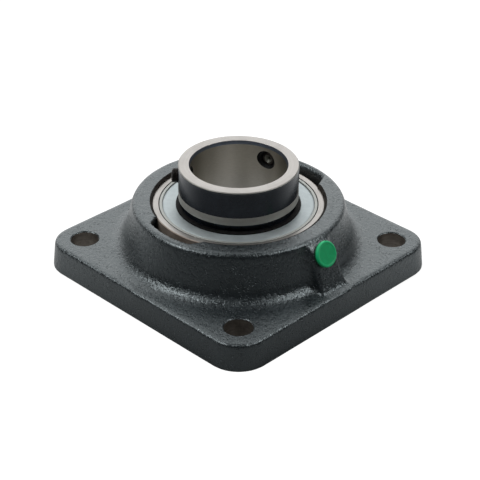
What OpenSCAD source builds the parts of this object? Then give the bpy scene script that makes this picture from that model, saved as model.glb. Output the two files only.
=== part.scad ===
// Square flange bearing: cast four bolt housing with a spherical seat and a
// wide inner ring ball bearing insert held on its shaft by two set screws.
// Units are millimetres. The origin is the centre of the mounting face.
// +Z points along the shaft bore, towards the set screw end.

/* [Flange] */
// distance between neighbouring bolt holes, along X and along Y
bolt_pitch = 149; // [146:0.5:156]
// diameter of the bolt holes
bolt_hole_d = 19; // [15:0.5:21]
// width of the chamfer round each bolt hole
hole_chamfer = 0.4; // [0.2:0.1:1]
// distance from a bolt hole's centre to the side, at the mounting face
edge_margin = 22.3; // [20:0.1:26]
// thickness of the square flange
flange_t = 18.6; // [17:0.1:20]
// how far each side leans in between the mounting face and the top
side_draft = 2; // [1:0.1:3]
// radius of the rounded top edge of the flange
flange_edge_r = 2; // [1:0.1:3]

/* [Boss] */
// height of the boss above the mounting face
boss_top_z = 50.3; // [50:0.1:51.5]
// wall of the boss outside the loading slots, at its top
boss_wall = 5.4; // [4.5:0.1:7]
// how much wider the boss is at its foot than at its top, on one side
boss_lean = 8.8; // [6:0.1:10]
// radius of the rounded rim at the top of the boss
boss_rim_r = 2.6; // [1:0.1:4]
// radius of the hollow fillet between boss and flange
boss_fillet_r = 7; // [3:0.5:9]

/* [Spherical seat] */
// depth of the whole insert, from the shaft bore out to the ball shaped seat
insert_depth = 27.5; // [27.3:0.1:27.7]
// height of the seat's centre above the mounting face
seat_z = 34.6; // [34.3:0.1:34.9]
// radial running gap between the seat and the outer ring
seat_gap = 0.05; // [0.02:0.01:0.1]
// depth of the open space behind the seat
rear_open_t = 20; // [19:0.1:20.4]
// width of the chamfer at the mouth of the seat
mouth_chamfer = 0.9; // [0.5:0.1:1.4]
// chamfer at the mouth of the open space behind the seat
rear_chamfer = 1; // [0.5:0.1:2]
// depth of the two loading slots, outwards from the seat
slot_depth = 5.6; // [4.5:0.1:6.5]
// width of the two loading slots at their wall
slot_w = 36.6; // [34:0.2:40]
// how far the ends of the slots lean, so that they widen inwards
slot_lean = 24; // [15:1:35]

/* [Grease rib] */
// width of the rib on the +X side
rib_w = 26; // [22:0.5:30]
// how far the rib's flat top lies below the top of the boss
rib_drop = 1.7; // [1:0.1:2.5]
// how far the rib's flat top stands out past the top of the boss
rib_reach = 4; // [3:0.5:6]
// how far the rib's slanted face leans out, from its top to its foot
rib_lean = 14; // [11:0.5:15]
// radius of the rounded edge at the top of the slanted face
rib_edge_r = 1.5; // [0.5:0.1:3]
// radius of the hollow fillet at the rib's foot
rib_fillet_r = 3; // [1:0.5:4]
// height of the grease hole on the slanted face
grease_z = 41.2; // [40:0.1:42]
// diameter of the threaded mouth of the grease hole
grease_mouth_d = 8.8; // [7:0.1:10]
// depth of the threaded mouth
grease_mouth_t = 11; // [8:0.5:12]
// diameter of the narrow grease passage to the seat
grease_passage_d = 4; // [3:0.1:5]

/* [Grease plug] */
// diameter of the plug's head
plug_head_d = 17.4; // [14:0.1:18]
// thickness of the plug's head
plug_head_t = 2.8; // [2:0.1:3.5]
// radial gap between the plug's shank and the hole
plug_gap = 0.04; // [0.02:0.01:0.08]
// length of the plug's shank
plug_shank_t = 8; // [6:0.5:8]

/* [Outer ring] */
// width of the outer ring
outer_w = 27; // [26.8:0.1:27.6]
// radial width of the chamfer between the ball shaped outside and the end faces
corner_w = 0.6; // [0.4:0.1:1]
// radial width of the bright end faces
face_w = 4; // [3.6:0.1:4.4]
// how far the lands beside the raceway stand in from the bore at the end faces
land_step = 2.3; // [1.8:0.1:2.8]
// depth of the groove that holds each seal
seal_groove_t = 0.9; // [0.7:0.1:1.2]
// width of the grease groove round the outer ring
lube_groove_w = 6; // [5:0.5:7]
// depth of the grease groove
lube_groove_t = 0.8; // [0.5:0.1:1.2]
// diameter of the slanted grease hole in the outer ring
lube_hole_d = 3; // [2:0.1:3.4]
// angle of the slanted grease hole, measured from +X towards +Y
lube_hole_angle = 30; // [0:1:60]

/* [Balls and cage] */
// diameter of each ball as a share of the space between bore and seat
ball_share = 0.606; // [0.6:0.002:0.61]
// gap between ball and raceway
ball_gap = 0.02; // [0.01:0.005:0.05]
// radius of the raceway groove as a multiple of the ball radius
race_ratio = 1.03; // [1.02:0.01:1.06]
// gap between ball and cage pocket
pocket_gap = 0.25; // [0.2:0.05:0.3]
// thickness of the cage's pressed sheet
cage_t = 0.8; // [0.6:0.1:0.9]
// width of the cage's ribbon as a share of the space between the two rings
cage_share = 0.5; // [0.4:0.02:0.6]
// diameter of the cage rivets as a share of the ribbon's width
rivet_share = 0.4; // [0.32:0.02:0.48]
// diameter of the rivet heads as a share of the ribbon's width
rivet_head_share = 0.72; // [0.6:0.02:0.8]
// height of the rivet heads
rivet_head_t = 0.7; // [0.5:0.1:0.9]

/* [Seals] */
// clear space between the cage and the inner face of each seal
seal_clear = 0.52; // [0.5:0.02:0.6]
// thickness of the inner steel washer
backing_t = 0.6; // [0.5:0.1:0.6]
// thickness of the outer steel washer
washer_t = 0.8; // [0.7:0.1:0.8]
// thickness of the rubber between the washers
rubber_t = 1.5; // [1.3:0.1:1.5]
// radial distance from the shoulders to the bore of the outer washer
washer_clear = 0.3; // [0.2:0.1:1]
// radial distance from the ring's bore to the outer washer's raised rim
rim_inset = 0.4; // [0.3:0.1:0.8]
// radial width of the outer washer's raised rim
rim_w = 2.3; // [2:0.1:2.6]
// height of the raised rim over the flat of the washer
rim_t = 0.6; // [0.3:0.1:0.6]
// gap between the rubber lip and the inner ring
lip_gap = 0.3; // [0.3:0.05:0.5]
// how far the rubber lip stands out of the outer washer
lip_proud = 1.1; // [0.5:0.1:1.6]

/* [Inner ring] */
// bore radius, for a 65 mm shaft
bore_r = 32.5; // [30:0.5:33]
// wall of the inner ring at its long ends
inner_wall = 7.6; // [7.3:0.1:8.1]
// how far the shoulders beside the raceway stand out from the long ends
shoulder_step = 1.4; // [1.1:0.1:1.5]
// how far each shoulder ends past the inner face of the seal beside it
shoulder_past = 0.1; // [-0.3:0.1:0.1]
// depth of the undercut that the seal lips run over
undercut_t = 1.8; // [1.5:0.1:2.1]
// distance from the seat centre to the end of each undercut
undercut_s = 18.5; // [17.5:0.1:19]
// distance from the seat centre to the set screw end
long_end_s = 42.9; // [42:0.1:44]
// distance from the seat centre to the plain end
short_end_s = 25.4; // [24.5:0.1:26]
// radial width of the chamfer at the mouth of the bore
bore_chamfer_w = 0.7; // [0.4:0.1:1.2]
// length of the chamfer at the mouth of the bore
bore_chamfer_t = 2; // [1:0.1:2.5]
// chamfer at the outer edges of the two ends
end_chamfer = 0.5; // [0.3:0.1:0.8]

/* [Set screws] */
// diameter of the set screws
screw_d = 10; // [9:0.5:11]
// length of each set screw
screw_len = 12; // [11:0.5:13]
// depth of the screws' centre line below the set screw end
screw_depth = 11.4; // [10.5:0.1:12]
// radial running gap between screw and threaded hole
screw_gap = 0.04; // [0.02:0.01:0.08]
// chamfer at both ends of each set screw
screw_chamfer = 0.8; // [0.5:0.1:1]
// diameter of the mouth of the cup at each set screw's tip
cup_d = 6; // [5:0.1:7]
// depth of the cup
cup_t = 2; // [1.5:0.1:2.5]
// size across the flats of the hexagon socket
socket_af = 5; // [4:0.5:5]
// depth of the hexagon socket
socket_t = 5; // [4:0.5:6]
// diameter of the chamfer where each threaded hole meets the bore
inner_sink_d = 12.9; // [12:0.1:13.5]
// diameter of the chamfer where each threaded hole meets the outside
outer_sink_d = 11.2; // [11.1:0.1:12]
// angle of the first set screw, measured from +X towards +Y
screw_1_angle = 219; // [210:1:228]
// angle from the first set screw to the second
screw_spacing = -120; // [-130:1:-110]
// distance from the bore's wall to the inner tip of the first set screw
screw_1_back = 0.4; // [0.3:0.1:1]
// distance from the bore's wall to the inner tip of the second set screw
screw_2_back = 1.9; // [0.5:0.1:2.5]

/* [Hidden] */
$fn = 96;
ball_count = 10;
ball_step = 360 / ball_count;
flange_half = bolt_pitch / 2;
seat_r = bore_r + insert_depth;
slot_wall_r = seat_r + slot_depth;
boss_top_r = slot_wall_r + boss_wall;
boss_foot_r = boss_top_r + boss_lean;
rear_open_r = sqrt(seat_r * seat_r - pow(seat_z - rear_open_t, 2));
inner_end_r = bore_r + inner_wall;
shoulder_r = inner_end_r + shoulder_step;
undercut_r = inner_end_r - undercut_t;
outer_r = seat_r - seat_gap;
corner_r = sqrt(outer_r * outer_r - outer_w * outer_w / 4);
outer_face_r = corner_r - corner_w;
outer_mouth_r = outer_face_r - face_w;
outer_land_r = outer_mouth_r - land_step;
seal_groove_r = outer_mouth_r + seal_groove_t;
ball_r = ball_share * (seat_r - bore_r) / 2;
ball_pitch_r = (seat_r + bore_r) / 2;
race_r = ball_r * race_ratio;
lube_drill_t = 1.2 * outer_w;
cage_w = cage_share * (outer_land_r - shoulder_r);
rivet_r = rivet_share * cage_w / 2;
rivet_head_r = rivet_head_share * cage_w / 2;
pocket_r = ball_r + pocket_gap;
seal_start = pocket_r + cage_t + seal_clear;
shoulder_s = seal_start + shoulder_past;
washer_bore_r = shoulder_r + washer_clear;
rim_end_r = outer_mouth_r - rim_inset;
rim_start_r = rim_end_r - rim_w;
rib_top_z = boss_top_z - rib_drop;
rib_top_x = boss_top_r + rib_reach;
rib_foot_x = rib_top_x + rib_lean;
rib_slope = atan(rib_lean / (rib_top_z - flange_t));
grease_x = rib_top_x + (rib_top_z - grease_z) * tan(rib_slope);
grease_passage_t = 1.35 * (grease_x - seat_r);
mouth_r = sqrt(seat_r * seat_r - pow(boss_top_z - seat_z, 2)) - 0.05;
seal_mid_s = seal_start + backing_t;
seal_out_s = seal_mid_s + rubber_t;
seal_face_s = seal_out_s + washer_t;
rim_s = seal_face_s + rim_t;
screw_z = seat_z + long_end_s - screw_depth;
screw_r = screw_d / 2;
plug_shank_r = grease_mouth_d / 2 - plug_gap;

// unit vector from point a to point b
function toward(a, b) = (b - a) / norm(b - a);

// centre of the arc of radius r that rounds corner b between a and c
function arc_centre(a, b, c, r) =
    let (u = toward(b, a), v = toward(b, c), half = acos(u * v) / 2)
    b + (u + v) / norm(u + v) * r / sin(half);

// shortest signed turn from angle p to angle q
function turn(p, q) = let (d = q - p) d > 180 ? d - 360 : (d < -180 ? d + 360 : d);

// points of the arc that rounds corner b between a and c
function rounded(a, b, c, r, steps = 5) =
    let (u = toward(b, a), v = toward(b, c), half = acos(u * v) / 2)
    let (reach = r / tan(half), m = arc_centre(a, b, c, r))
    let (s = b + u * reach - m, e = b + v * reach - m)
    let (p = atan2(s[1], s[0]), d = turn(p, atan2(e[1], e[0])))
    [for (i = [0:steps]) m + r * [cos(p + d * i / steps), sin(p + d * i / steps)]];

// places its children at the centre of the spherical seat
module at_seat() {
    translate([0, 0, seat_z]) children();
}

// ring with a square section, from height a to height b
module band(r_in, r_out, a, b) {
    translate([0, 0, a])
        linear_extrude(b - a)
            difference() {
                circle(r_out);
                circle(r_in);
            }
}

// section of the flange from a bolt hole's centre out to the side
module flange_edge_profile() {
    foot = [edge_margin, 0];
    lip = [edge_margin - side_draft, flange_t];
    polygon(concat([[0, 0], foot], rounded(foot, lip, [0, flange_t], flange_edge_r), [[0, flange_t]]));
}

// flange plate with leaning sides, a rounded top edge and round corners
module flange_plate() {
    translate([-flange_half, -flange_half, 0])
        cube([bolt_pitch, bolt_pitch, flange_t]);
    for (q = [0:3])
        rotate([0, 0, 90 * q]) {
            translate([flange_half, flange_half, 0])
                rotate_extrude(angle = 90)
                    flange_edge_profile();
            translate([flange_half, flange_half, 0])
                rotate([90, 0, 0])
                    linear_extrude(bolt_pitch)
                        flange_edge_profile();
        }
}

// round boss with a leaning wall, a rounded rim and a hollow fillet at its foot
module boss() {
    far = [boss_foot_r + boss_fillet_r * 2, flange_t];
    foot = [boss_foot_r, flange_t];
    rim = [boss_top_r, boss_top_z];
    rotate_extrude()
        polygon(concat([[0, 1], [far[0] - boss_fillet_r, 1]],
            rounded(far, foot, rim, boss_fillet_r, 7),
            rounded(foot, rim, [0, boss_top_z], boss_rim_r, 6),
            [[0, boss_top_z]]));
}

// rib that carries the grease hole, with a slanted outer face
module grease_rib() {
    top = [rib_top_x, rib_top_z];
    foot = [rib_foot_x, flange_t];
    rotate([90, 0, 0])
        translate([0, 0, -rib_w / 2])
            linear_extrude(rib_w)
                polygon(concat([[seat_r, 1], [rib_foot_x + rib_fillet_r, 1]],
                    rounded([rib_foot_x + 2 * rib_fillet_r, flange_t], foot, top, rib_fillet_r, 4),
                    rounded(foot, top, [0, rib_top_z], rib_edge_r, 4),
                    [[seat_r, rib_top_z]]));
}

// places its children on the slanted face, pointing straight out of it
module at_grease_hole() {
    translate([grease_x, 0, grease_z])
        rotate([0, 90 - rib_slope, 0])
            children();
}

module housing() {
    color([0.2, 0.22, 0.24])
        difference() {
            union() {
                flange_plate();
                boss();
                grease_rib();
            }
            at_seat() sphere(seat_r);
            translate([0, 0, boss_top_z - mouth_chamfer])
                cylinder(r1 = mouth_r, r2 = mouth_r + 2 * mouth_chamfer, h = 2 * mouth_chamfer);
            translate([0, 0, -1]) cylinder(r = rear_open_r, h = seat_z + 1);
            translate([0, 0, -0.001])
                cylinder(r1 = rear_open_r + rear_chamfer, r2 = rear_open_r, h = rear_chamfer);
            loading_slots();
            bolt_holes();
            at_grease_hole() {
                translate([0, 0, -grease_mouth_t])
                    cylinder(d = grease_mouth_d, h = grease_mouth_t + 5);
                translate([0, 0, -grease_passage_t])
                    cylinder(d = grease_passage_d, h = grease_passage_t - grease_mouth_t / 2);
            }
        }
}

// two slots through which the insert goes in edgeways before it is turned
module loading_slots() {
    translate([0, 0, seat_z])
        linear_extrude(boss_top_z)
            intersection() {
                circle(slot_wall_r);
                for (m = [0, 1])
                    mirror([0, m])
                        slot_shape();
            }
}

// plan of one loading slot, wider at the inside than at its wall
module slot_shape() {
    inside = seat_r / 2;
    reach = (slot_wall_r - inside) * tan(slot_lean);
    polygon([[-slot_w / 2, slot_wall_r], [-slot_w / 2 - reach, inside],
        [slot_w / 2 + reach, inside], [slot_w / 2, slot_wall_r]]);
}

module bolt_holes() {
    for (x = [-flange_half, flange_half], y = [-flange_half, flange_half])
        translate([x, y, 0]) {
            translate([0, 0, -1])
                cylinder(d = bolt_hole_d, h = flange_t + 2);
            translate([0, 0, flange_t - hole_chamfer])
                cylinder(d1 = bolt_hole_d, d2 = bolt_hole_d + 4 * hole_chamfer, h = 2 * hole_chamfer);
        }
}

module grease_plug() {
    head_r = plug_head_d / 2;
    color([0.12, 0.58, 0.34])
        at_grease_hole()
            rotate_extrude()
                polygon([[0, -plug_shank_t], [plug_shank_r - 1, -plug_shank_t],
                    [plug_shank_r, -plug_shank_t + 1.5], [plug_shank_r, 0], [head_r, 0],
                    [head_r, plug_head_t - 0.8], [head_r - 0.3, plug_head_t - 0.25],
                    [head_r - 0.9, plug_head_t], [0, plug_head_t]]);
}

module outer_ring() {
    color([0.72, 0.71, 0.69])
        at_seat()
            difference() {
                intersection() {
                    sphere(outer_r);
                    outer_ring_blank();
                }
                raceway(ball_pitch_r + ball_r + ball_gap - race_r);
                for (m = [0, 1])
                    mirror([0, 0, m])
                        band(outer_land_r - 2, outer_mouth_r, seal_start, outer_w);
                for (m = [0, 1])
                    mirror([0, 0, m])
                        band(outer_land_r - 2, seal_groove_r, seal_start, seal_face_s - 0.1);
                band(outer_r - lube_groove_t, outer_r + 2, -lube_groove_w / 2, lube_groove_w / 2);
                rotate([0, 0, lube_hole_angle])
                    translate([outer_r - lube_groove_t, 0, 0])
                        rotate([0, -45, 0])
                            cylinder(d = lube_hole_d, h = lube_drill_t, center = true);
            }
}

// turned shape of the outer ring, before its outside is ground to a ball
module outer_ring_blank() {
    half_w = outer_w / 2;
    face = [outer_face_r, half_w];
    edge = [corner_r + 1, half_w - 0.45 * corner_w];
    rotate_extrude()
        polygon([[outer_land_r, -half_w], [face[0], -half_w], [edge[0], -edge[1]],
            [outer_r + 3, -edge[1] + 2], [outer_r + 3, edge[1] - 2], edge, face,
            [outer_land_r, half_w]]);
}

// raceway cutter: a ring with a round section
module raceway(centre_r) {
    rotate_extrude()
        translate([centre_r, 0])
            circle(race_r);
}

module inner_ring() {
    color([0.24, 0.25, 0.27])
        difference() {
            at_seat() {
                difference() {
                    rotate_extrude() inner_ring_profile();
                    raceway(ball_pitch_r - ball_r - ball_gap + race_r);
                }
            }
            at_screw(screw_1_angle) threaded_hole();
            at_screw(screw_1_angle + screw_spacing) threaded_hole();
        }
}

module inner_ring_profile() {
    polygon([[bore_r, -short_end_s + bore_chamfer_t], [bore_r + bore_chamfer_w, -short_end_s],
        [inner_end_r - end_chamfer, -short_end_s], [inner_end_r, -short_end_s + end_chamfer],
        [inner_end_r, -undercut_s - end_chamfer], [inner_end_r - end_chamfer, -undercut_s],
        [undercut_r, -undercut_s], [undercut_r, -shoulder_s], [shoulder_r, -shoulder_s],
        [shoulder_r, shoulder_s], [undercut_r, shoulder_s], [undercut_r, undercut_s],
        [inner_end_r - end_chamfer, undercut_s], [inner_end_r, undercut_s + end_chamfer],
        [inner_end_r, long_end_s - end_chamfer], [inner_end_r - end_chamfer, long_end_s],
        [bore_r + bore_chamfer_w, long_end_s], [bore_r, long_end_s - bore_chamfer_t]]);
}

// places its children at a set screw's height, with +Z pointing straight out
module at_screw(angle) {
    translate([0, 0, screw_z])
        rotate([0, 0, angle])
            rotate([0, 90, 0])
                children();
}

// threaded hole for a set screw, chamfered at both ends
module threaded_hole() {
    hole_r = screw_r + screw_gap;
    lead = inner_sink_d / 2 - hole_r;
    drop = outer_sink_d / 2 - hole_r;
    translate([0, 0, bore_r - screw_r])
        cylinder(r = hole_r, h = inner_wall + screw_d);
    translate([0, 0, bore_r - 1.5 * lead])
        cylinder(r1 = hole_r + 2 * lead, r2 = hole_r, h = 2 * lead);
    translate([0, 0, inner_end_r - 1.6 * drop])
        cylinder(r1 = hole_r, r2 = hole_r + 3 * drop, h = 3 * drop);
}

// plain set screw with a hexagon socket and a cup at its tip
module set_screw(angle, tip_r) {
    end_r = screw_r - screw_chamfer;
    color([0.1, 0.1, 0.11])
        at_screw(angle)
            translate([0, 0, tip_r])
                difference() {
                    rotate_extrude()
                        polygon([[0, 0], [end_r, 0], [screw_r, screw_chamfer],
                            [screw_r, screw_len - screw_chamfer], [end_r, screw_len],
                            [0, screw_len]]);
                    translate([0, 0, -0.001])
                        cylinder(d1 = cup_d, d2 = 0.2 * cup_d, h = cup_t);
                    translate([0, 0, screw_len - socket_t])
                        cylinder(d = socket_af / cos(30), h = socket_t + 1, $fn = 6);
                }
}

module ball(index) {
    color([0.8, 0.8, 0.82])
        at_seat()
            rotate([0, 0, index * ball_step])
                translate([ball_pitch_r, 0, 0])
                    sphere(ball_r);
}

// one half of the ribbon cage: flat webs between round pressed pockets
module cage_half() {
    difference() {
        band(ball_pitch_r - cage_w / 2, ball_pitch_r + cage_w / 2, 0, cage_t);
        at_each_ball(0)
            translate([-cage_w, -pocket_r, -1])
                cube([2 * cage_w, 2 * pocket_r, cage_t + 2]);
        at_each_ball(0.5)
            cylinder(r = rivet_r, h = 3 * cage_t, center = true);
    }
    at_each_ball(0) cage_pocket();
}

// half round pocket for one ball, with a wall of even thickness
module cage_pocket() {
    reach = pocket_r + 2 * cage_t;
    intersection() {
        rotate([0, 90, 0])
            rotate_extrude()
                intersection() {
                    difference() {
                        circle(pocket_r + cage_t);
                        circle(pocket_r);
                    }
                    translate([0, -cage_w / 2])
                        square([reach, cage_w]);
                }
        translate([-cage_w, -reach, 0])
            cube([2 * cage_w, 2 * reach, reach]);
    }
}

// repeats its children round the pitch circle, turned on by a share of a step
module at_each_ball(share) {
    for (i = [0:ball_count - 1])
        rotate([0, 0, (i + share) * ball_step])
            translate([ball_pitch_r, 0, 0])
                children();
}

module cage_front() {
    color([0.62, 0.6, 0.55])
        at_seat() cage_half();
}

module cage_rear() {
    color([0.62, 0.6, 0.55])
        at_seat() mirror([0, 0, 1]) cage_half();
}

module cage_rivets() {
    crown_r = 0.7 * rivet_head_r;
    color([0.55, 0.54, 0.5])
        at_seat()
            at_each_ball(0.5)
                rotate_extrude()
                    polygon([[0, -cage_t - rivet_head_t], [crown_r, -cage_t - rivet_head_t],
                        [rivet_head_r, -cage_t - 0.2], [rivet_head_r, -cage_t],
                        [rivet_r, -cage_t], [rivet_r, cage_t], [rivet_head_r, cage_t],
                        [rivet_head_r, cage_t + 0.2], [crown_r, cage_t + rivet_head_t],
                        [0, cage_t + rivet_head_t]]);
}

// outer steel washer of a seal, with its raised rim, for the +Z side
module seal_washer() {
    color([0.68, 0.72, 0.73])
        rotate_extrude()
            polygon([[washer_bore_r, seal_out_s], [seal_groove_r, seal_out_s],
                [seal_groove_r, seal_face_s - 0.1], [outer_mouth_r - 0.1, seal_face_s - 0.1],
                [rim_end_r, seal_face_s], [rim_end_r - 0.15, rim_s - 0.2],
                [rim_end_r - 0.8, rim_s], [rim_start_r + 0.8, rim_s - 0.1],
                [rim_start_r, seal_face_s], [washer_bore_r, seal_face_s]]);
}

// rubber ring of a seal, with the lip that runs round the inner ring
module seal_lip() {
    lip_r = undercut_r + lip_gap;
    lip_out = washer_bore_r - 0.1;
    color([0.05, 0.05, 0.055])
        rotate_extrude()
            polygon([[shoulder_r + 0.7, seal_mid_s], [seal_groove_r, seal_mid_s],
                [seal_groove_r, seal_out_s], [washer_bore_r, seal_out_s],
                [lip_out, seal_out_s + 0.1], [lip_out, seal_face_s + lip_proud - 0.5],
                [lip_out - 0.5, seal_face_s + lip_proud], [lip_r + 0.8, seal_face_s + lip_proud],
                [lip_r, seal_face_s + lip_proud - 0.8], [lip_r, seal_face_s - 0.4],
                [lip_r + 1.4, seal_mid_s + 0.8]]);
}

// inner steel washer of a seal
module seal_backing() {
    color([0.6, 0.63, 0.64])
        band(shoulder_r + 0.5, seal_groove_r, seal_start, seal_mid_s);
}

module seal_front_washer() {
    at_seat() seal_washer();
}

module seal_front_lip() {
    at_seat() seal_lip();
}

module seal_front_backing() {
    at_seat() seal_backing();
}

module seal_rear_washer() {
    at_seat() mirror([0, 0, 1]) seal_washer();
}

module seal_rear_lip() {
    at_seat() mirror([0, 0, 1]) seal_lip();
}

module seal_rear_backing() {
    at_seat() mirror([0, 0, 1]) seal_backing();
}

housing();
grease_plug();
outer_ring();
inner_ring();
ball(0);  // ball_01
ball(1);  // ball_02
ball(2);  // ball_03
ball(3);  // ball_04
ball(4);  // ball_05
ball(5);  // ball_06
ball(6);  // ball_07
ball(7);  // ball_08
ball(8);  // ball_09
ball(9);  // ball_10
cage_front();
cage_rear();
cage_rivets();
seal_front_washer();
seal_front_lip();
seal_front_backing();
seal_rear_washer();
seal_rear_lip();
seal_rear_backing();
set_screw(screw_1_angle, bore_r + screw_1_back);  // set_screw_1
set_screw(screw_1_angle + screw_spacing, bore_r + screw_2_back);  // set_screw_2
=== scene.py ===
"""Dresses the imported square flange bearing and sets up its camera, floor and light.

Sizes of the pieces are in millimetres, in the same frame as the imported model, and are turned into
metres when a mesh is made. Sizes of the scene around them are in metres.
"""

from __future__ import annotations

import logging
import math
from dataclasses import dataclass
from enum import Enum, IntEnum
from typing import Any, Callable, Iterable, Sequence

import bmesh
import bpy
import numpy as np
from mathutils import Matrix, Vector, noise


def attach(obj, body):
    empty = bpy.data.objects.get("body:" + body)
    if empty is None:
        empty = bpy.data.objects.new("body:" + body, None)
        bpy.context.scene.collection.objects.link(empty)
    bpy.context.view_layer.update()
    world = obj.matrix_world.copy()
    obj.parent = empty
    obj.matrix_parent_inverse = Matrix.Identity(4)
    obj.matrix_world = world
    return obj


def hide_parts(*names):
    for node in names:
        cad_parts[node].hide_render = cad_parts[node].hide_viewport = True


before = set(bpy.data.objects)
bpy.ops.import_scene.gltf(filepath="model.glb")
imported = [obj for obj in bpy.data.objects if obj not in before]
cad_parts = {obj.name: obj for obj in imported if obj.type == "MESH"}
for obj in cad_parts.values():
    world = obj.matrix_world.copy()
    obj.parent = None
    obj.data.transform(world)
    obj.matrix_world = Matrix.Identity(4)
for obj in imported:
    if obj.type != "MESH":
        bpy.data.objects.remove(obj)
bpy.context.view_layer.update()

Colour = tuple[float, float, float]
Point = tuple[float, float]
Corner = tuple[float, float, float]
Spot = tuple[float, float, float]
Settings = dict[str | int, Any]
SlotPicker = Callable[[Point, Point], int]

MM = 0.001
FULL_TURN = 2 * math.pi
QUARTER_TURN = math.pi / 2
# Height of the seat's middle above the mounting face
SEAT_Z = 34.6
# How far a cutter stands past the face that it opens
PAST = 5.0
# A point of a path nearer to the axis than this lies on it
ON_AXIS = 1e-6
# Vertices nearer than this are one, in metres
WELD_M = 1e-7
report = logging.getLogger("square_flange_bearing")


class Side(Enum):
    """The side of the insert on which a seal sits."""

    FRONT = 1
    REAR = -1


class Body(Enum):
    """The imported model's bodies that dressed pieces ride on."""

    HOUSING = "housing"
    PLUG = "plug"
    OUTER = "outer"
    INNER = "inner"
    SCREW_1 = "screw_1"
    SCREW_2 = "screw_2"


class CastFace(IntEnum):
    """Material slots of the housing."""

    PAINT = 0
    IRON = 1


class OuterFace(IntEnum):
    """Material slots of the outer ring."""

    BRIGHT = 0
    BROWN = 1


class RingFace(IntEnum):
    """Material slots of the inner ring."""

    GROUND = 0
    BORE = 1
    OXIDE = 2
    BAND = 3
    TAPPED = 4
    BLUED = 5


class ScrewFace(IntEnum):
    """Material slots of a set screw."""

    BLACK = 0
    CUP = 1


class Varying:
    """A value that varies over a surface. Its operators add Math nodes to the material."""

    def __init__(self, bench: NodeBench, socket: bpy.types.NodeSocket) -> None:
        """Wraps one output socket of a node on the bench."""
        self.bench = bench
        self.socket = socket

    def __add__(self, other: Varying | float) -> Varying:
        """Sum of two values."""
        return self.bench.math("ADD", self, other)

    def __sub__(self, other: Varying | float) -> Varying:
        """This value less the other."""
        return self.bench.math("SUBTRACT", self, other)

    def __rsub__(self, other: float) -> Varying:
        """The other number less this value."""
        return self.bench.math("SUBTRACT", other, self)

    def __mul__(self, other: Varying | float) -> Varying:
        """Product of two values."""
        return self.bench.math("MULTIPLY", self, other)

    def __pow__(self, power: float) -> Varying:
        """This value to a power."""
        return self.bench.math("POWER", self, power)

    __radd__ = __add__
    __rmul__ = __mul__

    def between(self, low: float, high: float) -> Varying:
        """Smooth step: 0 up to low and 1 from high on, or the other way round if high is less.

        Args:
            low: The value at which the result is 0.
            high: The value at which the result is 1.

        Returns:
            The smooth step of this value.
        """
        if low > high:
            return 1 - self.between(high, low)
        settings = {"interpolation_type": "SMOOTHSTEP"}
        links = {"Value": self, "From Min": low, "From Max": high}
        return self.bench.value("ShaderNodeMapRange", settings, links, "Result")


class NodeBench:
    """Adds nodes to one tree, a material's or the sky's."""

    def __init__(self, tree: bpy.types.NodeTree) -> None:
        """Keeps the tree that the nodes go into."""
        self.tree = tree

    def node(self, kind: str, settings: Settings | None = None,
             links: Settings | None = None) -> bpy.types.Node:
        """Adds a node of any type.

        Args:
            kind: The node's type.
            settings: Its properties, set first.
            links: Values or links of its input sockets, by socket name or number.

        Returns:
            The new node.
        """
        made = self.tree.nodes.new(kind)
        for key, value in (settings or {}).items():
            setattr(made, key, value)
        for key, value in (links or {}).items():
            self.feed(made.inputs[key], value)
        return made

    def feed(self, socket: bpy.types.NodeSocket, value: Any) -> None:
        """Links a socket to a value or a colour, or sets it to a plain number or colour.

        Args:
            socket: The input socket.
            value: A value, an output socket, or what the socket is set to.
        """
        if isinstance(value, Varying):
            value = value.socket
        if isinstance(value, bpy.types.NodeSocket):
            self.tree.links.new(value, socket)
        elif isinstance(value, tuple) and socket.type == "RGBA":
            socket.default_value = (*value, 1.0)
        else:
            socket.default_value = value

    def value(self, kind: str, settings: Settings, links: Settings, output: str | int) -> Varying:
        """Adds a node and wraps one of its outputs as a value."""
        return Varying(self, self.node(kind, settings, links).outputs[output])

    def math(self, operation: str, first: Varying | float,
             second: Varying | float) -> Varying:
        """Adds one Math node on two values."""
        return self.value("ShaderNodeMath", {"operation": operation}, {0: first, 1: second}, 0)


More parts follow.
